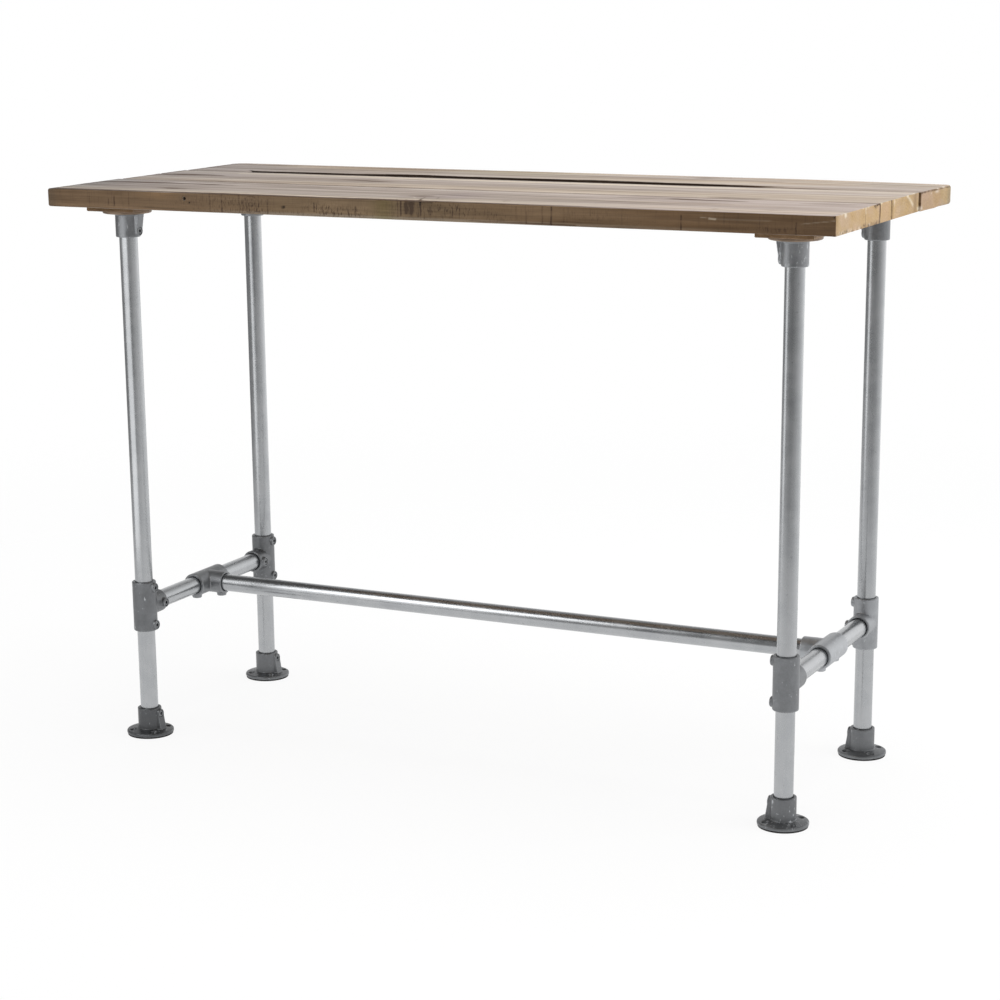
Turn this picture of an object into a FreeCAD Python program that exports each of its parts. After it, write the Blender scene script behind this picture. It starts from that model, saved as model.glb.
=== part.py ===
"""Bar table: three reclaimed boards on a frame of galvanised tube and set-screw fittings.

Frame: millimetres, +X along the table's length, +Y towards its rear, +Z up.
The origin is on the floor, under the middle of the table.
Every board, tube, casting, screw and pad is a solid of its own.
"""

import FreeCAD
import Part

import math
import os

from FreeCAD import Placement, Rotation, Vector

# Whole table
TABLE_HEIGHT = 1050.0
TABLE_LENGTH = 1500.0
RAIL_HEIGHT = 255.0
LEG_FROM_TABLE_END = 104.0
LEG_FROM_TABLE_EDGE = 101.0

# Boards of the top, from the front to the rear
FRONT_BOARD_WIDTH = 228.0
MIDDLE_BOARD_WIDTH = 218.0
REAR_BOARD_WIDTH = 190.0
BOARD_THICKNESS = 33.0
BOARD_GAP = 2.0
BOARD_ARRIS = 1.6
BOARD_CORNER_ROUNDING = 3.0
REAR_LEFT_CORNER_ROUNDING = 25.0
END_STAGGER = 12.0
LEFT_STAGGER_SHARES = (0, 0.6, 1)
RIGHT_STAGGER_SHARES = (0.3, 0.3, 0)

# Worn groove along the rear edge of the middle board
WORN_WIDTH = 13.0
WORN_DEPTH = 4.4
WORN_START_SHARE = -0.8
WORN_END_SHARE = 0.72
WORN_RUN_OUT_SHARE = 0.12

# Drying cracks at the board ends, placed by shares of a board's half width
CRACK_WIDTH = 1.6
FRONT_CRACK_LENGTH = 60.0
MIDDLE_CRACK_LENGTH = 120.0
LEFT_CRACK_LENGTH = 190.0
FRONT_CRACK_SHARE = 0.32
MIDDLE_CRACK_SHARE = -0.39
LEFT_CRACK_SHARE = 0.17

# Battens under the boards
BATTEN_WIDTH = 100.0
BATTEN_THICKNESS = 11.0
BATTEN_FROM_TABLE_EDGE = 45.0
BATTEN_CHAMFER = 1.2

# Tube, shared by legs, rails and footrest
TUBE_DIAMETER = 33.7
TUBE_WALL = 2.6

# Bodies of the castings
TUBE_CLEARANCE = 0.45
CASTING_WALL = 5.5
BRANCH_STEP = 0.8
STOP_LEDGE = 2.8
STOP_THICKNESS = 4.0
STOP_GAP = 0.2
MOUTH_CHAMFER = 1.0
BLEND_RADIUS = 1.5

# Three-socket tee
TEE_LENGTH = 96.0
BRANCH_PROUD = 23.0
BRANCH_STOP_WALL = 3.7

# Round flange fitting
FLANGE_DIAMETER = 90.0
FLANGE_RIM_THICKNESS = 6.0
FLANGE_ROOT_THICKNESS = 9.0
FLANGE_HEIGHT = 50.0
FLANGE_LEDGE_THICKNESS = 3.0
FLANGE_CHAMFER = 1.2
FLANGE_HOLE_COUNT = 4
FLANGE_HOLE_DIAMETER = 6.5
FLANGE_SINK_DIAMETER = 12.4
WEB_SPREAD = 4.0

# Boss that carries a set screw, and the screw
BOSS_DIAMETER = 19.0
BOSS_PROUD = 4.2
BOSS_FROM_MOUTH = 11.5
BOSS_CHAMFER = 1.2
SET_SCREW_DIAMETER = 13.0
SET_SCREW_CLEARANCE = 0.1
SET_SCREW_BELOW_BOSS = 0.8
SET_SCREW_CHAMFER = 1.0
SET_SCREW_CUP_CHAMFER = 2.0
HEX_ACROSS_FLATS = 6.0
HEX_DEPTH = 5.0

# Wood screws
SCREW_DIAMETER = 4.5
SCREW_CLEARANCE = 0.1
SCREW_POINT_LENGTH = 5.0
FLANGE_SCREW_HEAD_DIAMETER = 11.6
FLANGE_SCREW_COVER = 19.0
BATTEN_SCREW_HEAD_DIAMETER = 9.0
BATTEN_SCREW_COVER = 11.0
BATTEN_SCREW_FROM_JOINT = 32.0
BATTEN_SCREW_SPACING = 60.0

# Rubber pad under each foot
PAD_THICKNESS = 3.0
PAD_INSET = 1.5

# How far a cutting tool runs past the face that it cuts, and how closely edges are matched
OVERRUN = 1.0
MATCH = 0.01

# Sizes and places worked out from those above
TABLE_WIDTH = FRONT_BOARD_WIDTH + MIDDLE_BOARD_WIDTH + REAR_BOARD_WIDTH + 2 * BOARD_GAP
FRONT_BOARD_REAR = FRONT_BOARD_WIDTH - TABLE_WIDTH / 2
MIDDLE_BOARD_FRONT = FRONT_BOARD_REAR + BOARD_GAP
MIDDLE_BOARD_REAR = MIDDLE_BOARD_FRONT + MIDDLE_BOARD_WIDTH
REAR_BOARD_FRONT = MIDDLE_BOARD_REAR + BOARD_GAP
LEG_X = TABLE_LENGTH / 2 - LEG_FROM_TABLE_END
LEG_Y = TABLE_WIDTH / 2 - LEG_FROM_TABLE_EDGE
UNDERSIDE = TABLE_HEIGHT - BOARD_THICKNESS
BATTEN_BOTTOM = UNDERSIDE - BATTEN_THICKNESS
TUBE_RADIUS = TUBE_DIAMETER / 2
BORE_RADIUS = TUBE_RADIUS + TUBE_CLEARANCE
SLEEVE_RADIUS = BORE_RADIUS + CASTING_WALL
BRANCH_RADIUS = SLEEVE_RADIUS - BRANCH_STEP
STOP_RADIUS = BORE_RADIUS - STOP_LEDGE
BRANCH_REACH = SLEEVE_RADIUS + BRANCH_PROUD
BRANCH_STOP = BORE_RADIUS + BRANCH_STOP_WALL
BOSS_FACE = SLEEVE_RADIUS + BOSS_PROUD
FLANGE_BOSS_HEIGHT = FLANGE_HEIGHT - BOSS_FROM_MOUTH
FLANGE_HOLE_REACH = (SLEEVE_RADIUS + FLANGE_DIAMETER / 2) / 2
FLANGE_SCREW_HEAD_DROP = FLANGE_RIM_THICKNESS - SCREW_CLEARANCE
TIMBER_THICKNESS = BATTEN_THICKNESS + BOARD_THICKNESS
FLANGE_SCREW_LENGTH = FLANGE_SCREW_HEAD_DROP + TIMBER_THICKNESS - FLANGE_SCREW_COVER
BATTEN_SCREW_LENGTH = TIMBER_THICKNESS - BATTEN_SCREW_COVER

X = Vector(1, 0, 0)
Y = Vector(0, 1, 0)
Z = Vector(0, 0, 1)
ORIGIN = Vector(0, 0, 0)

SIDES = (("left", -1), ("right", 1))
ROWS = (("front", -1), ("rear", 1))


# Helpers

def along(axis, distance):
    """The point at a distance from the origin along an axis."""
    return Vector(axis).multiply(distance)


def rod(radius, start, axis, length):
    """A solid cylinder."""
    return Part.makeCylinder(radius, length, start, axis)


def cone(start_radius, end_radius, start, axis, length):
    """A solid cone or cone frustum."""
    return Part.makeCone(start_radius, end_radius, length, start, axis)


def prism(points, depth):
    """A straight-sided solid on a closed outline."""
    return Part.Face(Part.makePolygon(points + [points[0]])).extrude(depth)


def placement_of(local_x, local_y, position):
    """The placement that turns local X and Y to two directions and then moves to a position."""
    return Placement(position, Rotation(local_x, local_y, local_x.cross(local_y), "XYZ"))


def placed(shape, placement):
    """A copy of a shape under a placement."""
    copy = shape.copy()
    copy.Placement = placement
    return copy


def end_circles(body, radius, axis, reaches):
    """The circular edges of a radius whose centres lie at given reaches along an axis."""
    found = []
    for edge in body.Edges:
        if not isinstance(edge.Curve, Part.Circle) or abs(edge.Curve.Radius - radius) > MATCH:
            continue
        if min(abs(edge.Curve.Center.dot(axis) - reach) for reach in reaches) < MATCH:
            found.append(edge)
    return found


# Tube

def tube(start, axis, length):
    """A length of tube."""
    outer = rod(TUBE_RADIUS, start, axis, length)
    return outer.cut(rod(TUBE_RADIUS - TUBE_WALL, start, axis, length))


# Set screws and their bosses: the boss points along local X, the tube lies along local Z

def set_screw():
    """A socket set screw whose cupped tip bears on a tube."""
    radius = SET_SCREW_DIAMETER / 2
    tip = TUBE_RADIUS + SET_SCREW_CLEARANCE
    head = BOSS_FACE - SET_SCREW_BELOW_BOSS
    shank_start = tip + SET_SCREW_CUP_CHAMFER
    shank_end = head - SET_SCREW_CHAMFER
    cup = cone(radius - SET_SCREW_CUP_CHAMFER, radius, along(X, tip), X, SET_SCREW_CUP_CHAMFER)
    shank = rod(radius, along(X, shank_start), X, shank_end - shank_start)
    crown = cone(radius, radius - SET_SCREW_CHAMFER, along(X, shank_end), X, SET_SCREW_CHAMFER)
    corner = HEX_ACROSS_FLATS / math.sqrt(3)
    corners = []
    for k in range(6):
        angle = k * math.pi / 3
        corners.append(Vector(head - HEX_DEPTH, corner * math.cos(angle), corner * math.sin(angle)))
    socket = prism(corners, along(X, HEX_DEPTH + OVERRUN))
    return cup.fuse([shank, crown]).cut(socket)


def boss():
    """The round boss for a set screw, chamfered at its face."""
    radius = BOSS_DIAMETER / 2
    shoulder = BOSS_FACE - BOSS_CHAMFER
    stem = rod(radius, ORIGIN, X, shoulder)
    return stem.fuse(cone(radius, radius - BOSS_CHAMFER, along(X, shoulder), X, BOSS_CHAMFER))


def boss_hole():
    """The hole for a set screw."""
    return rod(SET_SCREW_DIAMETER / 2 + SET_SCREW_CLEARANCE, ORIGIN, X, BOSS_FACE + OVERRUN)


# Three-socket tee: its sleeve lies along local Z, its branch along local Y, its bosses face local X

def tee_screw_places():
    """The screws of a tee: one near each end of the sleeve and one near the branch's mouth."""
    end = TEE_LENGTH / 2 - BOSS_FROM_MOUTH
    reach = BRANCH_REACH - BOSS_FROM_MOUTH
    return [
        Placement(along(Z, end), Rotation()),
        Placement(along(Z, -end), Rotation()),
        Placement(along(Y, reach), Rotation(X, -90)),
    ]


def tee():
    """A tee casting with three sockets, a stop in each, and three set-screw bosses."""
    half = TEE_LENGTH / 2
    sleeve = rod(SLEEVE_RADIUS, along(Z, -half), Z, TEE_LENGTH)
    body = sleeve.fuse(rod(BRANCH_RADIUS, ORIGIN, Y, BRANCH_REACH))
    crotch = [edge for edge in body.Edges if not isinstance(edge.Curve, (Part.Circle, Part.Line))]
    body = body.makeFillet(BLEND_RADIUS, crotch)
    mouths = end_circles(body, SLEEVE_RADIUS, Z, (-half, half))
    mouths += end_circles(body, BRANCH_RADIUS, Y, (BRANCH_REACH,))
    body = body.makeChamfer(MOUTH_CHAMFER, mouths)
    body = body.fuse([placed(boss(), place) for place in tee_screw_places()])
    depth = half - STOP_THICKNESS / 2 + OVERRUN
    cutters = [
        rod(STOP_RADIUS, along(Z, -half), Z, TEE_LENGTH),
        rod(BORE_RADIUS, along(Z, STOP_THICKNESS / 2), Z, depth),
        rod(BORE_RADIUS, along(Z, -STOP_THICKNESS / 2), -Z, depth),
        rod(STOP_RADIUS, ORIGIN, Y, BRANCH_REACH),
        rod(BORE_RADIUS, along(Y, BRANCH_STOP), Y, BRANCH_REACH - BRANCH_STOP + OVERRUN),
    ]
    cutters += [placed(boss_hole(), place) for place in tee_screw_places()]
    return body.cut(cutters)


# Round flange fitting: its mounting face is local Z = 0, its collar rises along local Z

def flange_hole_spots():
    """The centres of the screw holes, on the diagonals between the boss and the sides."""
    step = 2 * math.pi / FLANGE_HOLE_COUNT
    spots = []
    for k in range(FLANGE_HOLE_COUNT):
        angle = (k + 0.5) * step
        spots.append(Vector(math.cos(angle), math.sin(angle), 0).multiply(FLANGE_HOLE_REACH))
    return spots


def flange_holes():
    """The cutters of the countersunk screw holes."""
    hole = FLANGE_HOLE_DIAMETER / 2
    sink = FLANGE_SINK_DIAMETER / 2
    seat = FLANGE_RIM_THICKNESS - (sink - hole)
    cutters = []
    for spot in flange_hole_spots():
        cutters.append(rod(hole, spot - along(Z, OVERRUN), Z, FLANGE_RIM_THICKNESS + OVERRUN))
        cutters.append(cone(hole, sink, spot + along(Z, seat), Z, sink - hole))
        cutters.append(rod(sink, spot + along(Z, FLANGE_RIM_THICKNESS), Z, FLANGE_ROOT_THICKNESS))
    return cutters


def web():
    """The tapered web that carries a flange's boss down to its disc."""
    half = BOSS_DIAMETER / 2
    outline = [
        Vector(0, -half, 0),
        Vector(BOSS_FACE + WEB_SPREAD, -half, 0),
        Vector(BOSS_FACE + WEB_SPREAD, -half, FLANGE_RIM_THICKNESS),
        Vector(BOSS_FACE - BOSS_CHAMFER, -half, FLANGE_BOSS_HEIGHT),
        Vector(0, -half, FLANGE_BOSS_HEIGHT),
    ]
    return prism(outline, along(Y, BOSS_DIAMETER))


def flange():
    """A flange casting: a disc with a socket for the tube, and a boss for the set screw."""
    radius = FLANGE_DIAMETER / 2
    shoulder = FLANGE_RIM_THICKNESS - FLANGE_CHAMFER
    inner = radius - FLANGE_CHAMFER
    rise = FLANGE_ROOT_THICKNESS - FLANGE_RIM_THICKNESS
    disc = rod(radius, ORIGIN, Z, shoulder)
    edge = cone(radius, inner, along(Z, shoulder), Z, FLANGE_CHAMFER)
    slope = cone(inner, SLEEVE_RADIUS, along(Z, FLANGE_RIM_THICKNESS), Z, rise)
    collar = rod(SLEEVE_RADIUS, ORIGIN, Z, FLANGE_HEIGHT)
    collar = collar.makeChamfer(MOUTH_CHAMFER, end_circles(collar, SLEEVE_RADIUS, Z, (FLANGE_HEIGHT,)))
    on_boss = Placement(along(Z, FLANGE_BOSS_HEIGHT), Rotation())
    body = disc.fuse([edge, slope, collar, web(), placed(boss(), on_boss)])
    cutters = flange_holes()
    cutters.append(rod(BORE_RADIUS, along(Z, FLANGE_LEDGE_THICKNESS), Z, FLANGE_HEIGHT))
    cutters.append(rod(STOP_RADIUS, ORIGIN, Z, FLANGE_HEIGHT))
    cutters.append(placed(boss_hole(), on_boss))
    return body.cut(cutters)


# Wood screws: the head's face is local Z = 0, the point is up local Z

def wood_screw(head_diameter, length):
    """A countersunk wood screw."""
    radius = SCREW_DIAMETER / 2
    head_depth = head_diameter / 2 - radius
    point_start = length - SCREW_POINT_LENGTH
    head = cone(head_diameter / 2, radius, ORIGIN, Z, head_depth)
    shank = rod(radius, along(Z, head_depth), Z, point_start - head_depth)
    return head.fuse([shank, cone(radius, 0, along(Z, point_start), Z, SCREW_POINT_LENGTH)])


def pilot(length):
    """The hole that a screw's shank fills."""
    return rod(SCREW_DIAMETER / 2 + SCREW_CLEARANCE, ORIGIN, Z, length + SCREW_CLEARANCE)


def countersink(head_diameter):
    """The seat of a countersunk head."""
    radius = SCREW_DIAMETER / 2 + SCREW_CLEARANCE
    head = head_diameter / 2 + SCREW_CLEARANCE
    return cone(head, radius, ORIGIN, Z, head - radius)


def batten_screws():
    """The screws up through a batten at the origin, two by two on both sides of each board joint."""
    places = []
    for joint in (FRONT_BOARD_REAR + BOARD_GAP / 2, MIDDLE_BOARD_REAR + BOARD_GAP / 2):
        for y in (joint - BATTEN_SCREW_FROM_JOINT, joint + BATTEN_SCREW_FROM_JOINT):
            for x in (-BATTEN_SCREW_SPACING / 2, BATTEN_SCREW_SPACING / 2):
                places.append(Vector(x, y, BATTEN_BOTTOM))
    return places


def flange_screws():
    """The screws up through the two flanges under a batten at the origin."""
    places = []
    for row, sy in ROWS:
        for spot in flange_hole_spots():
            places.append(spot + Vector(0, sy * LEG_Y, BATTEN_BOTTOM - FLANGE_SCREW_HEAD_DROP))
    return places


# Boards and battens

def upright_at(blank, x, y):
    """The upright edge of a board blank that stands at a point of its outline."""
    for edge in blank.Edges:
        box = edge.BoundBox
        is_upright = box.XLength < MATCH and box.YLength < MATCH
        if is_upright and abs(box.XMin - x) < MATCH and abs(box.YMin - y) < MATCH:
            return edge
    return None


def board_blank(left, right, front, rear, roundings):
    """A board between its ends and edges, with worn corners and arrises."""
    blank = Part.makeBox(right - left, rear - front, BOARD_THICKNESS)
    blank.translate(Vector(left, front, UNDERSIDE))
    corners = ((left, front), (right, front), (right, rear), (left, rear))
    for (x, y), rounding in zip(corners, roundings):
        blank = blank.makeFillet(rounding, [upright_at(blank, x, y)])
    rims = [edge for edge in blank.Edges if edge.BoundBox.ZLength < MATCH]
    return blank.makeFillet(BOARD_ARRIS, rims)


def worn_groove():
    """The wedge that wear has taken off the middle board's rear edge, running out at both ends."""
    start = WORN_START_SHARE * TABLE_LENGTH / 2
    end = WORN_END_SHARE * TABLE_LENGTH / 2
    run_out = WORN_RUN_OUT_SHARE * (end - start)
    inner = MIDDLE_BOARD_REAR - WORN_WIDTH
    outer = MIDDLE_BOARD_REAR + OVERRUN
    sections = []
    for x, drop in ((start, 0), (start + run_out, WORN_DEPTH), (end - run_out, WORN_DEPTH), (end, 0)):
        outline = [
            Vector(x, inner, TABLE_HEIGHT + OVERRUN),
            Vector(x, inner, TABLE_HEIGHT),
            Vector(x, outer, TABLE_HEIGHT - drop),
            Vector(x, outer, TABLE_HEIGHT + OVERRUN),
        ]
        sections.append(Part.makePolygon(outline + [outline[0]]))
    return Part.makeLoft(sections, True, True)


def crack(end, inward, length, y, lean):
    """A thin wedge that opens at a board's end and leans to one side as it closes."""
    half = CRACK_WIDTH / 2
    base = UNDERSIDE - OVERRUN
    outline = [
        Vector(end - inward * OVERRUN, y - half, base),
        Vector(end + inward * length, y + lean * half, base),
        Vector(end - inward * OVERRUN, y + half, base),
    ]
    return prism(outline, along(Z, BOARD_THICKNESS + 2 * OVERRUN))


def boards():
    """The three boards, keyed by node name."""
    spans = (
        ("board_front", -TABLE_WIDTH / 2, FRONT_BOARD_REAR),
        ("board_middle", MIDDLE_BOARD_FRONT, MIDDLE_BOARD_REAR),
        ("board_rear", REAR_BOARD_FRONT, TABLE_WIDTH / 2),
    )
    made = {}
    for k, (name, front, rear) in enumerate(spans):
        left = LEFT_STAGGER_SHARES[k] * END_STAGGER - TABLE_LENGTH / 2
        right = TABLE_LENGTH / 2 - RIGHT_STAGGER_SHARES[k] * END_STAGGER
        middle = (front + rear) / 2
        half = (rear - front) / 2
        roundings = [BOARD_CORNER_ROUNDING] * 4
        cuts = []
        if name == "board_front":
            cuts.append(crack(right, -1, FRONT_CRACK_LENGTH, middle + FRONT_CRACK_SHARE * half, 0))
        elif name == "board_middle":
            cuts.append(worn_groove())
            cuts.append(crack(right, -1, MIDDLE_CRACK_LENGTH, middle + MIDDLE_CRACK_SHARE * half, 2))
            cuts.append(crack(left, 1, LEFT_CRACK_LENGTH, middle + LEFT_CRACK_SHARE * half, -2))
        else:
            roundings[-1] = REAR_LEFT_CORNER_ROUNDING
        made[name] = board_blank(left, right, front, rear, roundings)
        if cuts:
            made[name] = made[name].cut(cuts)
    return made


def batten(x):
    """The batten across the boards at one end of the table."""
    length = TABLE_WIDTH - 2 * BATTEN_FROM_TABLE_EDGE
    blank = Part.makeBox(BATTEN_WIDTH, length, BATTEN_THICKNESS)
    blank.translate(Vector(x - BATTEN_WIDTH / 2, -length / 2, BATTEN_BOTTOM))
    lower = [edge for edge in blank.Edges if edge.BoundBox.ZMax < BATTEN_BOTTOM + MATCH]
    return blank.makeChamfer(BATTEN_CHAMFER, lower)


def top_parts():
    """Boards, battens and the wood screws that hold them, keyed by node name."""
    made = boards()
    holes = []
    for side, sx in SIDES:
        x = sx * LEG_X
        made["batten_" + side] = batten(x)
        made["batten_screws_" + side] = []
        made["flange_screws_" + side] = []
        for spot in batten_screws():
            place = Placement(spot + along(X, x), Rotation())
            screw = wood_screw(BATTEN_SCREW_HEAD_DIAMETER, BATTEN_SCREW_LENGTH)
            made["batten_screws_" + side].append(placed(screw, place))
            holes.append(placed(pilot(BATTEN_SCREW_LENGTH), place))
            holes.append(placed(countersink(BATTEN_SCREW_HEAD_DIAMETER), place))
        for spot in flange_screws():
            place = Placement(spot + along(X, x), Rotation())
            screw = wood_screw(FLANGE_SCREW_HEAD_DIAMETER, FLANGE_SCREW_LENGTH)
            made["flange_screws_" + side].append(placed(screw, place))
            holes.append(placed(pilot(FLANGE_SCREW_LENGTH), place))
    for name in ("board_front", "board_middle", "board_rear", "batten_left", "batten_right"):
        near = [hole for hole in holes if made[name].BoundBox.intersect(hole.BoundBox)]
        made[name] = made[name].cut(near)
    return made


# Legs

def foot_pad(x, y):
    """The rubber pad under a foot, with the same holes as the flange on it."""
    pad = rod(FLANGE_DIAMETER / 2 - PAD_INSET, ORIGIN, Z, PAD_THICKNESS)
    holes = []
    for spot in flange_hole_spots():
        holes.append(rod(FLANGE_HOLE_DIAMETER / 2, spot - along(Z, OVERRUN), Z, PAD_THICKNESS + 2 * OVERRUN))
    return placed(pad.cut(holes), Placement(Vector(x, y, 0), Rotation()))


def leg_tubes(x, y):
    """The lower and upper tube of a leg, which meet at the stop in its tee."""
    lower_start = PAD_THICKNESS + FLANGE_LEDGE_THICKNESS + STOP_GAP
    lower_end = RAIL_HEIGHT - STOP_THICKNESS / 2 - STOP_GAP
    upper_start = RAIL_HEIGHT + STOP_THICKNESS / 2 + STOP_GAP
    upper_end = BATTEN_BOTTOM - FLANGE_LEDGE_THICKNESS - STOP_GAP
    lower = tube(Vector(x, y, lower_start), Z, lower_end - lower_start)
    upper = tube(Vector(x, y, upper_start), Z, upper_end - upper_start)
    return lower, upper


def leg_parts():
    """The pads, castings, tubes and set screws of the four legs, keyed by node name."""
    made = {}
    flange_casting = flange()
    tee_casting = tee()
    screw = set_screw()
    on_flange = Placement(along(Z, FLANGE_BOSS_HEIGHT), Rotation())
    for side, sx in SIDES:
        for row, sy in ROWS:
            leg = row + "_" + side
            x = sx * LEG_X
            y = sy * LEG_Y
            foot = placement_of(X * -sx, Y * -sx, Vector(x, y, PAD_THICKNESS))
            head = placement_of(X * -sx, Y * sx, Vector(x, y, BATTEN_BOTTOM))
            knee = placement_of(X * -sx, Y * -sy, Vector(x, y, RAIL_HEIGHT))
            made["foot_flange_" + leg] = placed(flange_casting, foot)
            made["top_flange_" + leg] = placed(flange_casting, head)
            made["leg_tee_" + leg] = placed(tee_casting, knee)
            made["foot_pad_" + leg] = foot_pad(x, y)
            made["lower_leg_" + leg], made["upper_leg_" + leg] = leg_tubes(x, y)
            places = [foot.multiply(on_flange), head.multiply(on_flange)]
            places += [knee.multiply(place) for place in tee_screw_places()]
            made["set_screws_" + leg] = [placed(screw, place) for place in places]
    return made


# End rails and footrest

def rail_parts():
    """The end rails, their tees and set screws, and the footrest tube, keyed by node name."""
    made = {}
    tee_casting = tee()
    screw = set_screw()
    near = STOP_THICKNESS / 2 + STOP_GAP
    far = LEG_Y - BRANCH_STOP - STOP_GAP
    for side, sx in SIDES:
        place = placement_of(-Z, X * -sx, Vector(sx * LEG_X, 0, RAIL_HEIGHT))
        made["rail_tee_" + side] = placed(tee_casting, place)
        made["set_screws_rail_tee_" + side] = [
            placed(screw, place.multiply(on_tee)) for on_tee in tee_screw_places()
        ]
        for row, sy in ROWS:
            start = Vector(sx * LEG_X, sy * near, RAIL_HEIGHT)
            made["end_rail_" + row + "_" + side] = tube(start, Y * sy, far - near)
    reach = LEG_X - BRANCH_STOP - STOP_GAP
    made["footrest_tube"] = tube(Vector(-reach, 0, RAIL_HEIGHT), X, 2 * reach)
    return made


def export(made):
    """Writes one STEP file for each node."""
    os.makedirs("parts", exist_ok=True)
    for name, shape in sorted(made.items()):
        if isinstance(shape, list):
            shape = Part.makeCompound(shape)
        shape.exportStep("parts/" + name + ".step")
        print(name, len(shape.Solids), "solid(s),", round(shape.Volume), "mm3, valid:", shape.isValid())


if __name__ == "__main__":
    parts = top_parts()
    parts.update(leg_parts())
    parts.update(rail_parts())
    export(parts)
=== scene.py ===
"""Looks of the bar table: worn boards on galvanised tube and cast fittings.

Metres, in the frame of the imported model: +X along the table, +Y to its rear, +Z up.
The boards and the castings are modelled here in more detail and replace their nodes.
A board and its marks are worked out in millimetres, and its mesh is made in metres.
Tubes, battens, pads and screws keep their nodes and get their finish here.
"""

import math

import bmesh
import bpy
import numpy as np
from mathutils import Matrix, Vector, noise


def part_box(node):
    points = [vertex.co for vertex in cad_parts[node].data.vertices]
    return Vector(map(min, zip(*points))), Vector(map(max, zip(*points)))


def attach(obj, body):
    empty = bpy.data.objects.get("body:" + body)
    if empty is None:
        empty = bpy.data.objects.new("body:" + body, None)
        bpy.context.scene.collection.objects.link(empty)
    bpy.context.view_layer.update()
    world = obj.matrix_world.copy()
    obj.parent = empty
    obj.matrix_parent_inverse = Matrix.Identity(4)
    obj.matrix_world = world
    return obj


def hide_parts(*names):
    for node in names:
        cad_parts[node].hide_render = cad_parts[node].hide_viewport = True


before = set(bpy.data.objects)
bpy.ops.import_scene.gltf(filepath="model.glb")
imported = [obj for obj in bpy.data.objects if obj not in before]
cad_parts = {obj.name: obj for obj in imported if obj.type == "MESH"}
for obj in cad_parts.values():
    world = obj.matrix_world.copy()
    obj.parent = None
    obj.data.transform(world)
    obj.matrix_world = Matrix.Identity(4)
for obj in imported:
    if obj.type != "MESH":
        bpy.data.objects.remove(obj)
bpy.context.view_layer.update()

MM = 0.001
TINY = 1e-6

# Camera, from lines and circles of the photograph
FRAME_PIXELS = 1000
FOCAL_PIXELS = 2471.5
CENTRE_PIXELS = (486.0, 609.9)
SENSOR_WIDTH_MM = 36.0
CAMERA_PLACE = (1.9693, -4.0411, 1.4237)
CAMERA_YAW = -0.4587
CAMERA_PITCH = 0.2529
CAMERA_ROLL = 0.0097

# Studio
FLOOR_RADIUS = 2.6
FLOOR_EDGE = 1.2
FLOOR_COLOUR = (0.93, 0.93, 0.93, 1)
SHADOW_SHARE = 0.12
WORLD_LEVEL = 0.62
STUDIO_PEAK = 1.35
# What the metal reflects: direction round the table in degrees, and how bright it is
STUDIO_BANDS = (
    (-180, 1), (-136, 1), (-130, 0.35), (-90, 0.3), (-75, 0.35), (-40, 0.28), (0, 0.26), (30, 0.33),
    (60, 0.5), (90, 0.75), (125, 1.05), (150, 1.3), (172, 1.35), (180, 1),
)
# Lamps: name, place, aim, size, power, and whether it is a panel that shows only in the metal
LAMPS = (
    ("overhead", (0.3, 0.2, 3.4), (0, 0, 1), (3.4, 2.4), 75, False),
    ("right_side", (3.6, 0.6, 1.6), (0, 0, 0.8), (2.4, 2.2), 50, False),
    ("left_panel", (-0.786, -0.77, 0.82), (-0.143, -0.004, 0.82), (0.77, 1.15), 2.9, True),
    ("high_panel", (-0.97, -1.4, 1.4), (-0.2, 0, 0.5), (0.9, 1), 7, True),
)

# Finishes: colours as they look on a screen, and sizes in metres
# Pale paint: fresh wood and chips, and also painted highlights
PALE_WOOD_AND_HIGHLIGHT = (226, 213, 193)
# Dark brown paint: stains, and also painted shade on the front arris, in splits and in the torn hollow
STAINED_WOOD_AND_SHADE = (78, 57, 39)
# Near-black paint: grime, and also painted shade in the joints, holes and the torn hollow
DIRT_AND_SHADE = (40, 30, 22)
RING_SPACING = 0.0062
TIMBER_RELIEF = 0.0007
DRAWN_RELIEF = 0.000012
CAST_RELIEF = 0.00035
CAST_VOXEL = 0.0009
BROWN_DISC_DEPTH = 0.006

SIDES = (("left", -1), ("right", 1))
ROWS = (("front", -1), ("rear", 1))
LEGS = ("front_left", "rear_left", "front_right", "rear_right")


# Helpers for colour, noise and node trees

def linear(red, green, blue):
    """A colour given as it looks on a screen, from 0 to 255, as a linear one."""
    levels = []
    for value in (red, green, blue):
        share = value / 255
        levels.append(share / 12.92 if share < 0.04045 else ((share + 0.055) / 1.055) ** 2.4)
    return (*levels, 1)


def smooth(start, end, values):
    """A smooth step from 0 at start to 1 at end, whichever of the two is higher."""
    share = np.clip((values - start) / (end - start), 0, 1)
    return share * share * (3 - 2 * share)


def bump(values, centre, reach):
    """A bell that is 1 at the centre and dies out beyond its reach."""
    return np.exp(-((values - centre) / reach) ** 2)


def noise_at(points, scale, seed):
    """Smooth noise from about -1 to 1 at points in mm, with a scale per axis in waves per metre."""
    shift = Vector((seed * 7.13, seed * 3.71, seed * 5.37))
    scaled = points * MM * np.array(scale)
    return np.array([noise.noise(Vector(place) + shift) for place in scaled])


def put_object(name, data):
    """A new object in the scene."""
    made = bpy.data.objects.new(name, data)
    bpy.context.collection.objects.link(made)
    return made


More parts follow.
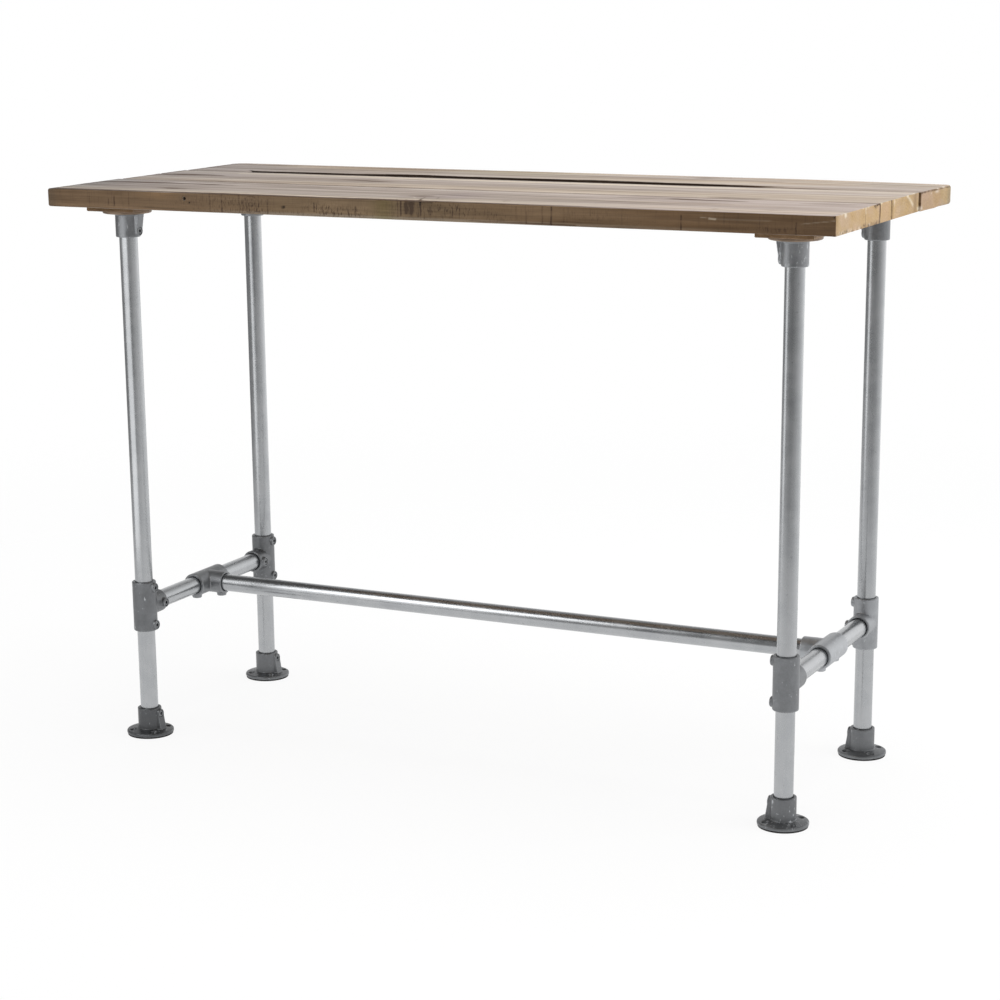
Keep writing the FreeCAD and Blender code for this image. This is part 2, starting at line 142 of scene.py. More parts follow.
class Tree:
    """Short calls that add nodes to a node tree."""

    def __init__(self, tree):
        self.tree = tree
        tree.nodes.clear()

    def put(self, socket, value):
        if isinstance(value, bpy.types.NodeSocket):
            self.tree.links.new(value, socket)
        else:
            socket.default_value = value

    def node(self, kind, inputs=None, **settings):
        """Adds a node and gives its outputs."""
        made = self.tree.nodes.new("ShaderNode" + kind)
        for name, value in settings.items():
            setattr(made, name, value)
        for key, value in (inputs or {}).items():
            self.put(made.inputs[key], value)
        return made.outputs

    def math(self, operation, *values, clamp=False):
        return self.node("Math", dict(enumerate(values)), operation=operation, use_clamp=clamp)[0]

    def chain(self, operation, *values):
        """One operation over all values, from the first to the last."""
        total = values[0]
        for value in values[1:]:
            total = self.math(operation, total, value)
        return total

    def add(self, *values):
        return self.chain("ADD", *values)

    def times(self, *values):
        return self.chain("MULTIPLY", *values)

    def mix(self, factor, first, second, blend_type="MIX"):
        inputs = {0: factor, 6: first, 7: second}
        return self.node("Mix", inputs, data_type="RGBA", blend_type=blend_type)[2]

    def between(self, value, low, high, start=0, end=1):
        inputs = {0: value, 1: low, 2: high, 3: start, 4: end}
        return self.node("MapRange", inputs, interpolation_type="SMOOTHSTEP")[0]

    def place(self, output="Object"):
        return self.node("TexCoord")[output]

    def noise(self, vector, scale, detail=2, roughness=0.5, shift=(0, 0, 0)):
        moved = self.node("VectorMath", {0: vector, 1: shift}, operation="ADD")[0]
        stretched = self.node("VectorMath", {0: moved, 1: scale}, operation="MULTIPLY")[0]
        inputs = {"Vector": stretched, "Scale": 1, "Detail": detail, "Roughness": roughness}
        return self.node("TexNoise", inputs)[0]

    def split(self, vector):
        return self.node("SeparateXYZ", {0: vector})

    def join(self, x, y, z):
        return self.node("CombineXYZ", {0: x, 1: y, 2: z})[0]

    def attribute(self, name, output="Fac"):
        return self.node("Attribute", attribute_name=name)[output]

    def layer(self, amount, colour, paint):
        """Paint over a colour, as far as amount says and at most wholly."""
        return self.mix(self.math("MINIMUM", amount, 1), colour, linear(*paint))

    def ramp(self, value, stops):
        made = self.node("ValToRGB", {0: value})[0]
        elements = made.node.color_ramp.elements
        while len(elements) < len(stops):
            elements.new(0.5)
        for element, (place, colour) in zip(elements, stops):
            element.position = place
            element.color = colour
        return made

    def colours(self, value, *stops):
        """A ramp through colours as they look on a screen: place, red, green and blue."""
        return self.ramp(value, [(place, linear(*levels)) for place, *levels in stops])


def new_material(name):
    """An empty material and its tree."""
    material = bpy.data.materials.new(name)
    material.use_nodes = True
    return material, Tree(material.node_tree)


def finish_material(tree, colour, roughness, height, bump_depth, metallic=0.0, specular=0.5):
    """The shader at the end of a material's tree."""
    bumps = tree.node("Bump", {"Strength": 1, "Distance": bump_depth, "Height": height})[0]
    inputs = {"Base Color": colour, "Roughness": roughness, "Metallic": metallic,
              "Specular IOR Level": specular, "Normal": bumps}
    tree.node("OutputMaterial", {0: tree.node("BsdfPrincipled", inputs)[0]})


# Timber

def grain_place(tree, painted, along_y):
    """Where a point lies in the timber: along the grain, across it, and through its thickness."""
    if painted:
        return tree.attribute("grain", "Vector")
    if not along_y:
        return tree.place()
    x, y, z = tree.split(tree.place())
    return tree.join(y, x, z)


def timber(name, seed, heart, warm=0.5, painted=True, along_y=False):
    """Weathered timber: streaks along the grain, browner edges, and sawn ends in tan and ochre patches."""
    material, tree = new_material(name)
    add, times, mix, between = tree.add, tree.times, tree.mix, tree.between
    place = grain_place(tree, painted, along_y)
    across, through = tree.split(place)[1:]
    nx, ny, nz = tree.split(tree.node("NewGeometry")["Normal"])
    a, b, c = seed * 1.7, seed * 0.9, seed * 2.3
    is_end = between(tree.math("ABSOLUTE", nx), 0.6, 0.88)
    is_edge = between(tree.math("ABSOLUTE", ny), 0.55, 0.9)
    is_under = between(nz, -0.5, -0.8)

    def grain(scale, detail=3, roughness=0.6, shift=(a, b, c)):
        return tree.noise(place, scale, detail, roughness, shift)

    broad = grain((0.9, 11, 11), 3, 0.55)
    streak = grain((2.2, 62, 62), 4)
    fine = grain((9, 420, 420))
    drift = grain((1.3, 5, 5), 2, 0.5)
    ring_y = add(across, -heart[0], times(add(drift, -0.5), 0.05))
    ring_z = add(through, -heart[1])
    ring_r = tree.math("SQRT", add(times(ring_y, ring_y), times(ring_z, ring_z)))
    wave = tree.math("SINE", times(ring_r, 2 * math.pi / RING_SPACING))
    ring = tree.math("POWER", between(wave, -1, 1), 2)

    tone = add(times(broad, 0.8), times(streak, 0.9), times(ring, 0.06), -0.38)
    face = tree.colours(tone, (0.12, 194, 183, 170), (0.36, 180, 168, 155), (0.52, 165, 153, 140),
                        (0.66, 141, 128, 114), (0.86, 100, 84, 69))
    tint = grain((0.8, 6, 6), 2, 0.5, (b, c, a))
    cool = mix(between(tint, 0.62, 0.45), face, linear(240, 240, 246), "MULTIPLY")
    warmth = times(between(tint, 0.35, 0.7), warm)
    warmed = mix(warmth, face, linear(250, 232, 208), "MULTIPLY")
    face = mix(between(tint, 0.42, 0.58), cool, warmed)
    thread = grain((1.4, 150, 150), shift=(c, a, b))
    face = mix(times(between(thread, 0.56, 0.68), 0.45), face, linear(112, 95, 80))

    blotch = grain((3, 24, 60))
    smear = grain((9, 9, 45))
    edge_tone = add(times(blotch, 0.6), times(streak, 0.4), times(smear, 0.45), -0.24)
    edge = tree.colours(edge_tone, (0.15, 152, 124, 92), (0.4, 134, 107, 77), (0.6, 116, 91, 63),
                        (0.85, 84, 64, 43))
    saw = grain((420, 5, 22), 3, 0.5)
    edge = mix(times(between(saw, 0.56, 0.72), 0.35), edge, linear(84, 66, 50))

    pore = grain((40, 500, 500), 2, 0.5)
    patch = grain((20, 17, 26), 2, 0.5)
    end_tone = add(times(ring, 0.05), times(pore, 0.12), times(patch, 0.9), -0.03)
    end = tree.colours(end_tone, (0.25, 198, 170, 143), (0.45, 190, 163, 131), (0.6, 190, 161, 118),
                       (0.8, 168, 140, 108))

    colour = mix(is_edge, face, edge)
    colour = mix(times(is_under, 0.8), colour, mix(0.5, edge, face))
    roughness = between(streak, 0.2, 0.8, 0.6, 0.85)
    if painted:
        colour = mix(is_end, colour, end)
        chop = grain((400, 90, 110), 3, 0.65)
        ticks = times(tree.attribute("ticks"), between(chop, 0.54, 0.6))
        stain_and_shade = times(tree.attribute("stain_and_shade"), between(streak, 0.35, 0.6, 0.45, 1.15),
                      between(fine, 0.3, 0.6, 0.7, 1.1))
        # These layers hold real marks; the pale one also holds painted highlights, the two dark ones
        # painted shade
        colour = tree.layer(tree.attribute("pale_wood_and_highlight"), colour, PALE_WOOD_AND_HIGHLIGHT)
        colour = tree.layer(add(stain_and_shade, ticks), colour, STAINED_WOOD_AND_SHADE)
        colour = tree.layer(tree.attribute("dirt_and_shade"), colour, DIRT_AND_SHADE)
        # Tints and painted shading from the board's mesh
        colour = mix(1, colour, tree.attribute("tint_and_shading", "Color"), "MULTIPLY")
        roughness = tree.math("MAXIMUM", roughness, tree.attribute("dirt_and_shade"), clamp=True)
    else:
        colour = mix(0.75, colour, edge)
    threads = mix(between(fine, 0.3, 0.75), linear(255, 253, 250), linear(150, 142, 134))
    colour = mix(between(fine, 0.35, 0.7, 0.26, 0.35), colour, threads, "MULTIPLY")
    height = add(times(fine, 0.35), times(streak, 0.9), times(ring, -0.08),
                 times(saw, times(is_edge, 0.35)), times(pore, times(is_end, 0.4)))
    finish_material(tree, colour, roughness, height, TIMBER_RELIEF, specular=0.3)
    return material


# Metals and rubber

def galvanised(name, axis):
    """Galvanised tube: grey zinc with soft drawn lines along an axis and a faint bloom."""
    material, tree = new_material(name)
    place = tree.place()
    drawn = [150, 150, 150]
    drawn[axis] = 4
    lines = tree.noise(place, drawn)
    soft = tree.noise(place, (22, 22, 22), 3, 0.6)
    bloom = tree.noise(place, (50, 50, 50), 3, 0.55)
    spots = tree.between(tree.noise(place, (110, 110, 110)), 0.68, 0.78)
    tone = tree.add(tree.times(lines, 0.25), tree.times(soft, 0.5), tree.times(bloom, 0.25))
    colour = tree.colours(tone, (0.25, 160, 162, 165), (0.5, 174, 176, 178), (0.75, 187, 188, 190))
    colour = tree.mix(tree.times(spots, 0.4), colour, linear(120, 121, 122))
    roughness = tree.between(tree.add(tree.times(soft, 0.6), tree.times(lines, 0.4)), 0.3, 0.7, 0.22, 0.32)
    finish_material(tree, colour, roughness, tree.add(lines, bloom), DRAWN_RELIEF, metallic=1)
    return material


def casting(name, level, scuffs=0.0, disc_z=None):
    """Hot-dip galvanised casting: grey with pits and zinc scuffs, pale painted highlights on sharp edges,
    and a brown disc above disc_z; its level, painted light and shade, sets how bright it is.
    """
    material, tree = new_material(name)
    place = tree.place()
    cloud = tree.noise(place, (38, 38, 38), 4, 0.6)
    grit = tree.noise(place, (420, 420, 420), 3, 0.6)
    flake = tree.noise(place, (150, 150, 60), 4, 0.7)
    tone = tree.add(tree.times(cloud, 0.75), tree.times(grit, 0.3), -0.05)
    greys = []
    for stop, share in ((0.25, 0.74), (0.5, 1), (0.75, 1.3)):
        grey = level * share
        greys.append((stop, (grey * 0.97, grey, grey * 1.04, 1)))
    colour = tree.ramp(tone, greys)
    scuffed = tree.between(flake, 0.64 - scuffs, 0.71 - scuffs)
    colour = tree.mix(tree.times(scuffed, 0.7), colour, linear(214, 218, 221))
    # A painted highlight: pale rims on sharp edges
    edge_highlight = tree.between(tree.node("NewGeometry")["Pointiness"], 0.515, 0.57)
    colour = tree.mix(tree.times(edge_highlight, 0.55), colour, linear(206, 210, 213))
    metallic = 0.8
    if disc_z is not None:
        disc = tree.between(tree.split(place)[2], disc_z - 1.5 * MM, disc_z)
        brown = tree.colours(tone, (0.3, 112, 90, 68), (0.7, 146, 121, 95))
        colour = tree.mix(tree.times(disc, 0.9), colour, brown)
        metallic = tree.math("SUBTRACT", metallic, tree.times(disc, 0.6))
    roughness = tree.between(cloud, 0.3, 0.7, 0.36, 0.5)
    height = tree.add(tree.times(cloud, 0.8), tree.times(grit, 0.35), tree.times(scuffed, 0.25))
    finish_material(tree, colour, roughness, height, CAST_RELIEF, metallic=metallic)
    return material


def plain_steel(name, dark, light):
    """Small steel parts: set screws and wood screws."""
    material, tree = new_material(name)
    place = tree.place()
    cloud = tree.noise(place, (160, 160, 160), 3, 0.6)
    turned = tree.noise(place, (900, 900, 300))
    tone = tree.add(tree.times(cloud, 0.8), tree.times(turned, 0.2))
    colour = tree.colours(tone, (0.3, *dark), (0.7, *light))
    roughness = tree.between(cloud, 0.3, 0.7, 0.3, 0.45)
    finish_material(tree, colour, roughness, tree.add(cloud, turned), 0.1 * MM, metallic=0.9)
    return material


def rubber():
    """Black rubber with a dusty, slightly grained face."""
    material, tree = new_material("pad_rubber")
    place = tree.place()
    dust = tree.noise(place, (60, 60, 60), 4, 0.6)
    grain = tree.noise(place, (900, 900, 900))
    colour = tree.colours(dust, (0.3, 34, 34, 35), (0.75, 62, 61, 60))
    roughness = tree.between(dust, 0.3, 0.7, 0.7, 0.9)
    finish_material(tree, colour, roughness, tree.add(dust, grain), 0.2 * MM, specular=0.3)
    return material


# Boards

def lines_between(low, high, step, edge_step, edge_band, zones=()):
    """Grid lines from low to high: fine within a band of both ends and in zones, coarser between."""
    marks = [np.arange(low, low + edge_band, edge_step), np.arange(high, high - edge_band, -edge_step),
             np.linspace(low, high, max(2, int((high - low) / step)))]
    marks += [np.arange(max(start, low), min(end, high), zone_step) for start, end, zone_step in zones]
    marks = np.sort(np.concatenate(marks))
    kept = [marks[0]]
    closest = edge_step * 0.6
    for mark in marks[1:-1]:
        if mark - kept[-1] >= closest and high - mark >= closest:
            kept.append(mark)
    kept.append(high)
    return np.array(kept)


def box_surface(xs, ys, zs):
    """The surface of a box on a grid of lines: its points, their grid places and its faces."""
    shape = (len(xs), len(ys), len(zs))
    outer = np.ones(shape, bool)
    outer[1:-1, 1:-1, 1:-1] = False
    index = np.full(shape, -1)
    index[outer] = np.arange(outer.sum())
    places = np.argwhere(outer)
    points = np.stack([xs[places[:, 0]], ys[places[:, 1]], zs[places[:, 2]]], axis=1)
    quads = []
    for sheet, flip in (
        (index[:, :, 0], True), (index[:, :, -1], False),
        (index[:, 0], False), (index[:, -1], True),
        (index[0], True), (index[-1], False),
    ):
        corners = [sheet[:-1, :-1], sheet[1:, :-1], sheet[1:, 1:], sheet[:-1, 1:]]
        if flip:
            corners.reverse()
        quads.append(np.stack([corner.ravel() for corner in corners], axis=1))
    return points, places, np.concatenate(quads)


def distance_to(points, start, end):
    """How far points in a plane lie from a line from start to end."""
    start = np.array(start)
    run = np.array(end) - start
    share = np.clip(((points - start) @ run) / (run @ run), 0, 1)
    return np.linalg.norm(points - start - share[:, None] * run, axis=1)


class Board:
    """One board: a fine box surface that is rounded, worn and painted before it becomes a mesh."""

    def __init__(self, node, seed, zones_x=(), zones_y=()):
        self.node = node
        self.seed = seed
        self.low, self.high = (np.array(corner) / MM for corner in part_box(node))
        xs = lines_between(self.low[0], self.high[0], 5, 0.9, 12, zones_x)
        ys = lines_between(self.low[1], self.high[1], 2.6, 0.7, 6, zones_y)
        zs = lines_between(self.low[2], self.high[2], 1.6, 0.7, 6)
        self.points, places, self.quads = box_surface(xs, ys, zs)
        self.flat = self.points.copy()
        self.grain = self.points.copy()
        self.x, self.y, self.z = self.flat.T
        self.from_right = self.high[0] - self.x
        self.on_left = places[:, 0] == 0
        self.on_front = places[:, 1] == 0
        self.on_right, self.on_rear, self.on_top = (places == places.max(axis=0)).T
        self.faces = {"top": ((0, 1), self.on_top), "front": ((0, 2), self.on_front),
                      "right": ((1, 2), self.on_right)}
        count = len(self.points)
        self.layers = {name: np.zeros(count) for name in ("stain_and_shade", "ticks", "dirt_and_shade", "pale_wood_and_highlight")}
        # Colour tints and painted shading, which the material multiplies into the colour
        self.tint_and_shading = np.ones((count, 3))
        self.sway = noise_at(self.flat, (9, 3, 0), seed + 2)
        self.jitter = noise_at(self.flat, (70, 70, 90), seed + 11)

    def paint(self, layer, amount):
        """Adds to one of the layers that the material reads."""
        self.layers[layer] += amount

    def tint(self, amount, red, green, blue):
        """Multiplies the colour of some points, as far as amount says."""
        self.tint_and_shading *= 1 + amount[:, None] * (np.array((red, green, blue)) - 1)

    def shade(self, amount, level):
        """Multiplies the brightness of some points, as far as amount says; used for painted shading."""
        self.tint_and_shading *= (1 + amount * (level - 1))[:, None]

    def round_edges(self, radius):
        """Rounds every edge of the box with a radius given for each point."""
        inner = np.clip(self.points, self.low + radius[:, None], self.high - radius[:, None])
        away = self.points - inner
        length = np.linalg.norm(away, axis=1)
        beyond = (np.abs(away) > TINY).sum(axis=1) > 1
        scale = np.where(beyond, radius / np.maximum(length, TINY), 1)
        self.points = inner + away * scale[:, None]

    def round_corner(self, sx, sy, radius):
        """Rounds one corner of the board's outline, seen from above."""
        outward = np.array((sx, sy))
        centre = np.where(outward < 0, self.low[:2], self.high[:2]) - radius * outward
        away = (self.points[:, :2] - centre) * outward
        inside = (away > 0).all(axis=1)
        length = np.maximum(np.linalg.norm(away, axis=1), TINY)
        moved = centre + away * outward * (away.max(axis=1) / length)[:, None]
        self.points[inside, :2] = moved[inside]

    def near_top(self, band=5):
        """How much each point belongs to the upper face."""
        return smooth(self.high[2] - band, self.high[2] - band * 0.2, self.z)

    def streaks(self, found):
        """Dark streaks along the grain of the upper face."""
        fibres = noise_at(self.flat, (3, 170, 0), self.seed + 7)
        for start_x, start_y, end_x, end_y, width, strength in found:
            run = end_x - start_x
            ragged = self.flat[:, :2].copy()
            ragged[:, 0] += fibres * min(35, 0.4 * run)
            ragged[:, 1] += self.sway * width * 0.8
            off_middle = np.abs(ragged[:, 0] - (start_x + end_x) / 2) / (run / 2)
            taper = 1 - 0.75 * smooth(0.3, 1.1, off_middle)
            near = bump(distance_to(ragged, (start_x, start_y), (end_x, end_y)), 0, width * taper)
            self.paint("stain_and_shade", strength * near * (0.9 + 0.35 * fibres) * self.on_top)

    def line(self, face, layer, path, width, strength):
        """A line with slightly ragged sides, painted into a layer along a path on one face."""
        axes, mask = self.faces[face]
        place = self.flat[:, axes]
        place[:, 0] += self.jitter * width * 0.6
        near = np.zeros(len(place))
        for start, end in zip(path, path[1:]):
            near = np.maximum(near, bump(distance_to(place, start, end), 0, width))
        self.paint(layer, strength * near * mask)

    def spot(self, face, layer, u, v, reach, strength):
        """A soft oval spot painted into a layer, with its reach along both axes of a face."""
        axes, mask = self.faces[face]
        away = (self.flat[:, axes] - (u, v)) / reach
        self.paint(layer, strength * mask * np.exp(-(away ** 2).sum(axis=1)))

    def hole(self, face, u, v, radius, depth):
        """A small dark hole at u, v in the upper or the front face."""
        axes, mask = self.faces[face]
        away = np.linalg.norm(self.flat[:, axes] - (u, v), axis=1)
        inside = smooth(radius * 1.15, radius * 0.6, away) * mask
        inward = (0, 0, -1) if face == "top" else (0, 1, 0)
        self.points += np.outer(inside, inward) * depth
        # Dark paint in the hole: grime and painted shade inside it
        self.paint("dirt_and_shade", inside)

    def mark(self, lines, pale_spots, holes=()):
        """Lines, pale spots on the right end, and holes, from tables."""
        for line in lines:
            self.line(*line)
        for spot in pale_spots:
            self.spot("right", "pale_wood_and_highlight", *spot)
        for hole in holes:
            self.hole(*hole)

    def knot(self, x, y, length, width, strength):
        """A knot in the upper face that the grain flows round."""
        dx = (self.x - x) / length
        dy = (self.y - y) / width
        near = np.exp(-(dx ** 2 + dy ** 2) * 0.6)
        self.grain[:, 1] -= (self.y - y) * near * 0.82
        ring = np.hypot(dx, dy)
        eye = bump(ring, 0, 0.42)
        ripple = 0.5 + 0.5 * np.cos(ring * 16)
        self.paint("stain_and_shade", strength * (0.9 * eye + 0.35 * ripple * bump(ring, 0, 0.95)) * self.on_top)
        self.points[:, 2] -= eye * 0.5 * self.on_top

    def split(self, sign, y_shares, length, width, depth, dark):
        """A drying split from an end: a wedge down into the upper face and into the end face."""
        end = self.high[0] if sign > 0 else self.low[0]
        share = np.clip((end - self.x) * sign / length, 0, 1)
        line = y_shares[0] + (y_shares[1] - y_shares[0]) * share + self.jitter * 1.5
        half = width * (1 - share) / 2 + 0.2
        inside = smooth(half * 1.5, half * 0.5, np.abs(self.y - line)) * (share < 1)
        top = inside * self.near_top(3)
        at_end = inside * (self.on_right if sign > 0 else self.on_left)
        self.points[:, 2] -= top * depth * (1 - share)
        self.points[:, 0] -= at_end * depth * sign
        # Dark paint in the split: grime and painted shade inside it
        self.paint("stain_and_shade", dark * np.maximum(top * (1 - share * 0.6), at_end))

    def weather(self, relief, sag):
        """Raised grain on the upper face, and long shallow waves in the faces and edges."""
        top = self.near_top()
        fibres = noise_at(self.grain, (1.6, 95, 0), self.seed)
        ridges = noise_at(self.grain, (0.8, 32, 0), self.seed + 1)
        waves = noise_at(self.flat, (2.2, 3.5, 0), self.seed + 12)
        self.points[:, 2] -= top * (0.3 + 0.125 * fibres + 0.175 * ridges) * relief
        self.points[:, 2] -= top * (0.5 + 0.5 * waves) * sag
        bow = noise_at(self.flat, (3.5, 0, 14), self.seed + 3)
        off_centre = self.y - (self.low[1] + self.high[1]) / 2
        side = np.sign(off_centre) * smooth(0.35, 0.5, np.abs(off_centre) / (self.high[1] - self.low[1]))
        self.points[:, 1] -= side * (0.3 + 0.3 * bow)
        rough = noise_at(self.flat, (0, 60, 60), self.seed + 5)
        self.points[:, 0] += (self.on_left - 0.4 * self.on_right) * (0.25 + 0.25 * rough)

    def chip_edges(self, strength):
        """Pale chips along the arrises of the upper face and the right end."""
        top_edge = smooth(self.high[2] - 4, self.high[2], self.z)
        end_edge = smooth(4, 0, self.from_right)
        chips = smooth(0.25, 0.55, noise_at(self.flat, (60, 60, 60), self.seed + 6))
        self.paint("pale_wood_and_highlight", strength * chips * top_edge * end_edge)

    def piece(self, material):
        """Makes the finished mesh object, which stands for the node."""
        mesh = bpy.data.meshes.new(self.node + "_worn")
        mesh.from_pydata((self.points * MM).tolist(), [], self.quads.tolist())
        mesh.shade_smooth()
        tint_and_shading = np.pad(self.tint_and_shading, ((0, 0), (0, 1)), constant_values=1)
        painted = [("grain", "FLOAT_VECTOR", "vector", self.grain * MM),
                   ("tint_and_shading", "FLOAT_COLOR", "color", tint_and_shading)]
        painted += [(name, "FLOAT", "value", amounts) for name, amounts in self.layers.items()]
        for name, kind, field, values in painted:
            made = mesh.attributes.new(name, kind, "POINT")
            made.data.foreach_set(field, values.astype(np.float32).ravel())
        mesh.materials.append(material)
        piece = put_object(self.node + "_worn", mesh)
        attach(piece, "root")
        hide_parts(self.node)


def arris(board, base, wear):
    """The rounding of a board's edges at each point: uneven along them, and sharp at the right end."""
    uneven = noise_at(board.flat, (14, 14, 0), board.seed + 9)
    fine = noise_at(board.flat, (60, 60, 0), board.seed + 10)
    radius = base + wear * np.clip(0.5 + 0.7 * uneven + 0.3 * fine, 0, 1.4)
    return radius * (1 - 0.65 * smooth(6, 2, board.from_right))


# Marks found in the photograph, in mm

# Streaks of the upper faces: start x and y, end x and y, width, strength
FRONT_STREAKS = (
    (-750, -152, -560, -142, 14, 1.6), (-560, -141, -460, -147, 10, 1.3),
    (-460, -143, -230, -140, 10, 0.4), (-570, -234, -500, -245, 9, 0.6),
    (-600, -115, -350, -108, 6, 0.3), (-190, -110, -120, -108, 7, 0.4), (385, -130, 450, -133, 10, 1.1),
    (410, -133, 540, -138, 10, 1), (630, -138, 730, -140, 10, 0.6), (410, -185, 530, -187, 9, 0.5),
    (270, -125, 400, -126, 10, 0.45), (300, -140, 500, -142, 18, 0.25), (140, -262, 156, -262, 5, 0.7),
    (520, -272, 534, -272, 5, 0.7), (-400, -275, -200, -268, 5, 0.25), (100, -245, 380, -250, 6, 0.15),
    (-720, -290, -520, -280, 8, 0.25),
)
MIDDLE_STREAKS = (
    (-340, 35, -270, 18, 9, 0.5), (-290, 18, -220, 10, 9, 0.9), (-650, -84, -370, -80, 9, 0.6),
    (-750, 30, -585, 32, 13, 1), (-740, 46, -640, 42, 8, 0.6), (-560, -72, -520, -80, 5, 0.5),
    (-60, -82, 40, -84, 8, 0.3), (-180, -81, -140, -83, 5, 0.5), (430, -76, 560, -78, 10, 1),
    (280, -80, 430, -79, 9, 0.4), (250, 32, 330, 38, 7, 0.3), (-100, -30, 120, -36, 7, 0.15),
    (480, 20, 700, 12, 9, 0.2), (-710, -40, -520, -48, 8, 0.3),
)
REAR_STREAKS = (
    (-740, 286, -570, 284, 15, 0.7), (-640, 205, -400, 212, 9, 0.3), (450, 225, 620, 218, 8, 0.3),
    (240, 300, 340, 296, 6, 0.7), (390, 246, 480, 238, 7, 0.6), (-740, 140, -590, 142, 10, 0.6),
)
SAW_MARK_WIDTH = 1.3
# Saw marks on the front edge: place along it, lowest and highest point, strength
SAW_MARKS = (
    (-617, 1024, 1034, 0.8), (-604, 1022, 1040, 1.44), (-573, 1017, 1046, 0.56),
    (-658, 1018, 1044, 0.48), (-402, 1020, 1049, 0.64), (-378, 1018, 1049, 0.8),
    (-342, 1019, 1049, 0.72), (-284, 1019, 1043, 0.72), (-191, 1026, 1040, 0.96),
    (-110, 1022, 1036, 0.96), (194, 1025, 1046, 0.48), (213, 1020, 1038, 0.64), (242, 1022, 1048, 0.72),
    (258, 1019, 1048, 1.36), (281, 1024, 1046, 0.48), (487, 1018, 1042, 0.96), (681, 1018, 1036, 1.12),
)
# The knot on the front edge: place along it, lowest and highest point, strength, width
KNOT_MARKS = (
    (-28, 1022, 1050, 0.7, 1), (-22, 1025, 1050, 1.4, 1.4), (-12, 1030, 1049, 1.4, 3.4),
    (-2, 1029, 1050, 1.5, 4.2), (11, 1023, 1040, 0.8, 1), (15.5, 1026, 1050, 1.2, 1.7),
    (23, 1020, 1031, 0.7, 1), (34, 1029, 1039, 0.7, 3), (49, 1036, 1039, 0.7, 1.6),
    (74, 1025, 1028, 0.8, 1.4), (87, 1029, 1042, 0.6, 1.2),
)
# Dark ticks on the front edge: middle, reach along and up, strength
TICK_PATCHES = (
    (-445, 1036, (50, 10), 0.42), (-375, 1035, (30, 12), 0.7), (-318, 1034, (34, 14), 0.84),
    (-300, 1022, (120, 4), 0.7), (-180, 1033, (30, 8), 0.98), (-130, 1026, (50, 9), 0.98),
    (10, 1038, (55, 14), 0.7), (80, 1036, (40, 11), 0.98), (150, 1030, (50, 10), 0.56),
    (330, 1036, (50, 10), 0.49), (640, 1024, (50, 6), 0.56),
)
# Lines: face, layer, path, width, strength
FRONT_LINES = (
    ("top", "stain_and_shade", ((-12, -248), (-2, -285)), 1.6, 0.9),
    ("top", "stain_and_shade", ((-2, -285), (14, -320)), 2.4, 1.1),
    ("top", "stain_and_shade", ((12, -243), (21, -268)), 1.8, 0.6),
    ("top", "stain_and_shade", ((-40, -298), (-30, -320)), 2, 0.6),
    ("top", "stain_and_shade", ((-24, -294), (-14, -320)), 2, 0.6),
    ("top", "pale_wood_and_highlight", ((-36, -246), (-22, -268)), 2, 0.3),
    ("front", "dirt_and_shade", ((-4, 1049), (38, 1048)), 1.3, 0.6),
    ("front", "dirt_and_shade", ((15.5, 1050), (15.5, 1044)), 1.8, 0.8),
    ("front", "pale_wood_and_highlight", ((520, 1040), (535, 1038.5), (640, 1038.5)), 0.7, 0.35),
    ("front", "pale_wood_and_highlight", ((535, 1038.5), (546, 1037.5)), 1.2, 0.9),
    ("front", "pale_wood_and_highlight", ((690, 1035), (745, 1041.5)), 0.7, 0.3),
    ("front", "stain_and_shade", ((628, 1030), (632, 1025), (680, 1027)), 0.8, 0.6),
    ("front", "stain_and_shade", ((105, 1020.5), (300, 1019.5)), 0.9, 0.8),
    ("front", "stain_and_shade", ((-540, 1022), (-455, 1020)), 1, 0.6),
    ("right", "pale_wood_and_highlight", ((-169, 1050), (-168, 1040)), 1.6, 0.7),
    ("right", "stain_and_shade", ((-122, 1048.5), (-114, 1045), (-106, 1049)), 2.2, 0.9),
    ("right", "stain_and_shade", ((-118, 1050), (-93, 1049)), 1.6, 1),
    ("right", "stain_and_shade", ((-93.5, 1050), (-93.5, 1019)), 2.2, 0.8),
)
MIDDLE_LINES = (
    ("right", "stain_and_shade", ((-29, 1050), (-22, 1040), (-26, 1020)), 3, 0.6),
    ("right", "pale_wood_and_highlight", ((57, 1050), (78, 1040), (94, 1031)), 2.8, 0.8),
)
REAR_LINES = (
    ("top", "dirt_and_shade", ((-616, 168), (-588, 138)), 3, 0.8),
)
# Pale spots on the right end: middle, reach, strength
FRONT_SPOTS = (
    (-168, 1048, (3, 2), 0.8), (-272, 1046, (4.5, 3.2), 1.6), (-149, 1020, (4.5, 2), 1.2),
)
MIDDLE_SPOTS = (
    (-13, 1045, (4, 6), 0.7), (124, 1022.5, (5, 3), 1),
)
REAR_SPOTS = (
    (226, 1044.5, (11, 2.2), 0.95), (190, 1043.5, (4, 1.4), 0.6), (134, 1022.5, (5, 3), 0.8),
)
# Holes: face, middle, radius, depth
FRONT_HOLES = (
    ("top", 528, -280, 2.2, 2.5), ("top", 148, -270, 2, 2.5), ("front", -456, 1039.5, 3.4, 5),
    ("front", -445, 1033, 1.6, 3), ("front", -253, 1031, 2.2, 4), ("front", 743, 1046.5, 1.4, 2),
)


